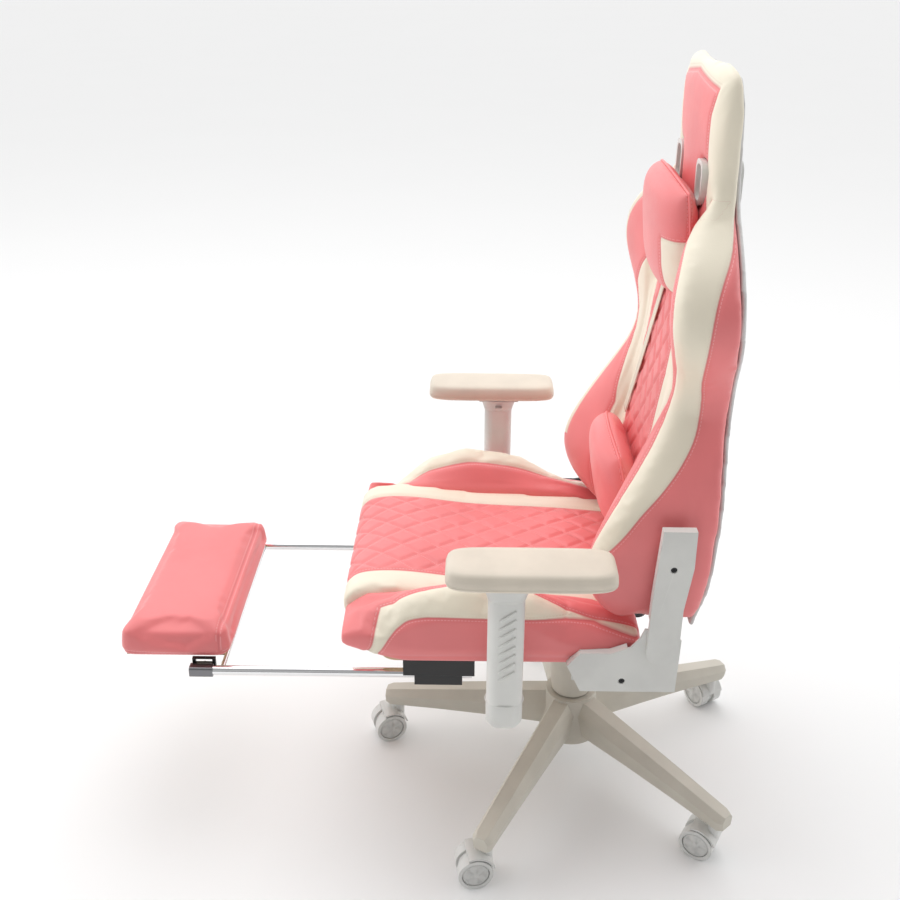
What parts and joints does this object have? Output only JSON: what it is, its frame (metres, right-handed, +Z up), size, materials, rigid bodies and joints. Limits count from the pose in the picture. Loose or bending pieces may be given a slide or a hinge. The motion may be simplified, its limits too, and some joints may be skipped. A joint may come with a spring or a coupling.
{
  "type": "gaming chair",
  "caption": "Racing-style swivel chair with bolstered seat, winged reclining back, neck and lumbar pillows, height-adjustable armrests, slide-out footrest and star base on casters.",
  "frame": {"origin": "middle of the overall box, on the floor", "axes": "+Z up, the chair faces -Y, +X is the sitter's left"},
  "size_m": [0.75, 1.0934, 1.303],
  "materials": {
    "base_plastic": "satin off-white nylon",
    "caster_plastic": "smooth off-white nylon",
    "black_steel": "black painted",
    "bright_steel": "ground",
    "chrome_tube": "polished",
    "white_steel": "off-white powder coat",
    "white_plastic": "satin moulded",
    "pad_plastic": "soft-touch",
    "black_plastic": "satin",
    "plywood": "raw birch plywood",
    "pink_upholstery": "smooth synthetic leather over foam",
    "white_upholstery": "smooth synthetic leather on a stiff panel"
  },
  "bodies": {
    "base": {"star_base": "base_plastic", "gas_cylinder": "black_steel", "dust_cover_lower": "base_plastic"},
    "caster_1": {"caster_hood_1": "caster_plastic"},
    "caster_wheels_1": {"caster_wheels_1": "caster_plastic"},
    "caster_2": {"caster_hood_2": "caster_plastic"},
    "caster_wheels_2": {"caster_wheels_2": "caster_plastic"},
    "caster_3": {"caster_hood_3": "caster_plastic"},
    "caster_wheels_3": {"caster_wheels_3": "caster_plastic"},
    "caster_4": {"caster_hood_4": "caster_plastic"},
    "caster_wheels_4": {"caster_wheels_4": "caster_plastic"},
    "caster_5": {"caster_hood_5": "caster_plastic"},
    "caster_wheels_5": {"caster_wheels_5": "caster_plastic"},
    "lift": {"gas_piston": "bright_steel"},
    "mechanism": {"tilt_housing": "white_steel", "tilt_pin": "black_steel", "dust_cover_upper": "base_plastic"},
    "tension_knob": {"tension_knob": "base_plastic"},
    "height_lever": {"height_lever": "black_plastic"},
    "seat": {"seat_plate": "black_steel", "seat_board": "plywood", "seat_bolts": "black_steel", "seat_cushion": "pink_upholstery", "footrest_guides": "black_plastic", "hinge_pins": "black_steel", "seat_bolster_left": "pink_upholstery", "arm_bracket_left": "white_steel", "arm_sleeve_left": "white_plastic", "arm_foot_cap_left": "white_plastic", "hinge_plate_lower_left": "white_steel", "hinge_cover_lower_left": "white_plastic", "seat_bolster_right": "pink_upholstery", "arm_bracket_right": "white_steel", "arm_sleeve_right": "white_plastic", "arm_foot_cap_right": "white_plastic", "hinge_plate_lower_right": "white_steel", "hinge_cover_lower_right": "white_plastic"},
    "arm_left": {"arm_column_left": "white_plastic"},
    "arm_lever_left": {"arm_lever_left": "white_plastic"},
    "arm_pad_left": {"arm_pad_left": "pad_plastic"},
    "arm_right": {"arm_column_right": "white_plastic"},
    "arm_lever_right": {"arm_lever_right": "white_plastic"},
    "arm_pad_right": {"arm_pad_right": "pad_plastic"},
    "backrest": {"hinge_plate_upper_left": "white_steel", "hinge_plate_upper_right": "white_steel", "hinge_cover_upper_left": "white_plastic", "hinge_cover_upper_right": "white_plastic", "cover_screws_upper": "black_steel", "back_frame": "black_steel", "back_cushion": "pink_upholstery", "back_cover": "white_upholstery", "belt_hole_bezels": "white_plastic", "neck_pillow": "pink_upholstery", "lumbar_pillow": "pink_upholstery"},
    "recline_lever": {"recline_lever": "black_plastic"},
    "footrest": {"footrest_tubes": "chrome_tube", "footrest_tip_caps": "black_plastic"},
    "footrest_pad": {"footrest_brackets": "black_plastic", "footrest_board": "plywood", "footrest_pad": "pink_upholstery"}
  },
  "joints": [
    {"name": "caster_swivel_1", "type": "hinge", "parent": "base", "child": "caster_1", "pos_m": [-0.0605, -0.10711, 0.06], "axis": [0, 0, 1], "continuous": true},
    {"name": "caster_roll_1", "type": "hinge", "parent": "caster_1", "child": "caster_wheels_1", "pos_m": [-0.05298, -0.12779, 0.029], "axis": [0.9397, 0.342, 0], "continuous": true},
    {"name": "caster_swivel_2", "type": "hinge", "parent": "base", "child": "caster_2", "pos_m": [0.29177, 0.06091, 0.06], "axis": [0, 0, 1], "continuous": true},
    {"name": "caster_roll_2", "type": "hinge", "parent": "caster_2", "child": "caster_wheels_2", "pos_m": [0.29559, 0.03924, 0.029], "axis": [0.9848, 0.1736, 0], "continuous": true},
    {"name": "caster_swivel_3", "type": "hinge", "parent": "base", "child": "caster_3", "pos_m": [0.24082, 0.44786, 0.06], "axis": [0, 0, 1], "continuous": true},
    {"name": "caster_roll_3", "type": "hinge", "parent": "caster_3", "child": "caster_wheels_3", "pos_m": [0.22982, 0.42881, 0.029], "axis": [0.866, -0.5, 0], "continuous": true},
    {"name": "caster_swivel_4", "type": "hinge", "parent": "base", "child": "caster_4", "pos_m": [-0.14293, 0.51899, 0.06], "axis": [0, 0, 1], "continuous": true},
    {"name": "caster_roll_4", "type": "hinge", "parent": "caster_4", "child": "caster_wheels_4", "pos_m": [-0.16198, 0.50799, 0.029], "axis": [0.5, -0.866, 0], "continuous": true},
    {"name": "caster_swivel_5", "type": "hinge", "parent": "base", "child": "caster_5", "pos_m": [-0.32916, 0.17599, 0.06], "axis": [0, 0, 1], "continuous": true},
    {"name": "caster_roll_5", "type": "hinge", "parent": "caster_5", "child": "caster_wheels_5", "pos_m": [-0.32347, 0.19724, 0.029], "axis": [-0.9659, 0.2588, 0], "continuous": true},
    {"name": "gas_lift", "type": "slide", "parent": "base", "child": "lift", "axis": [0, 0, 1], "range_m": [0, 0.08]},
    {"name": "seat_swivel", "type": "hinge", "parent": "lift", "child": "mechanism", "pos_m": [0, 0.21933, 0.33], "axis": [0, 0, 1], "continuous": true},
    {"name": "tension_knob_turn", "type": "hinge", "parent": "mechanism", "child": "tension_knob", "pos_m": [0, 0.07933, 0.342], "axis": [0, 1, 0], "continuous": true},
    {"name": "height_lever_pull", "type": "hinge", "parent": "mechanism", "child": "height_lever", "pos_m": [-0.055, 0.19933, 0.338], "axis": [0, 1, 0], "range_deg": [0, 8], "stiffness_Nm_per_rad": 1.5, "springref_deg": -14.32},
    {"name": "seat_tilt", "type": "hinge", "parent": "mechanism", "child": "seat", "pos_m": [0, 0.12433, 0.36], "axis": [-1, 0, 0], "range_deg": [0, 10], "stiffness_Nm_per_rad": 260, "springref_deg": -12.61},
    {"name": "arm_height_left", "type": "slide", "parent": "seat", "child": "arm_left", "axis": [0, 0, 1], "range_m": [0, 0.07]},
    {"name": "arm_lever_pull_left", "type": "hinge", "parent": "arm_left", "child": "arm_lever_left", "pos_m": [0.314, 0.08133, 0.5935], "axis": [0, 1, 0], "range_deg": [0, 10], "stiffness_Nm_per_rad": 0.3, "springref_deg": -11.46},
    {"name": "arm_pad_slide_left", "type": "slide", "parent": "arm_left", "child": "arm_pad_left", "axis": [0, 1, 0], "range_m": [-0.048, 0]},
    {"name": "arm_height_right", "type": "slide", "parent": "seat", "child": "arm_right", "axis": [0, 0, 1], "range_m": [0, 0.07]},
    {"name": "arm_lever_pull_right", "type": "hinge", "parent": "arm_right", "child": "arm_lever_right", "pos_m": [-0.314, 0.08133, 0.5935], "axis": [0, -1, 0], "range_deg": [0, 10], "stiffness_Nm_per_rad": 0.3, "springref_deg": -11.46},
    {"name": "arm_pad_slide_right", "type": "slide", "parent": "arm_right", "child": "arm_pad_right", "axis": [0, 1, 0], "range_m": [0, 0.048]},
    {"name": "backrest_recline", "type": "hinge", "parent": "seat", "child": "backrest", "pos_m": [0, 0.32333, 0.451], "axis": [-1, 0, 0], "range_deg": [0, 65]},
    {"name": "recline_lever_pull", "type": "hinge", "parent": "seat", "child": "recline_lever", "pos_m": [-0.29, 0.32333, 0.451], "axis": [-1, 0, 0], "range_deg": [0, 25], "stiffness_Nm_per_rad": 0.6, "springref_deg": -20.05},
    {"name": "footrest_slide", "type": "slide", "parent": "seat", "child": "footrest", "axis": [0, 1, 0], "range_m": [0, 0.24]},
    {"name": "footrest_flip", "type": "hinge", "parent": "footrest", "child": "footrest_pad", "pos_m": [0, -0.41067, 0.339], "axis": [1, 0, 0], "range_deg": [0, 180]}
  ]
}
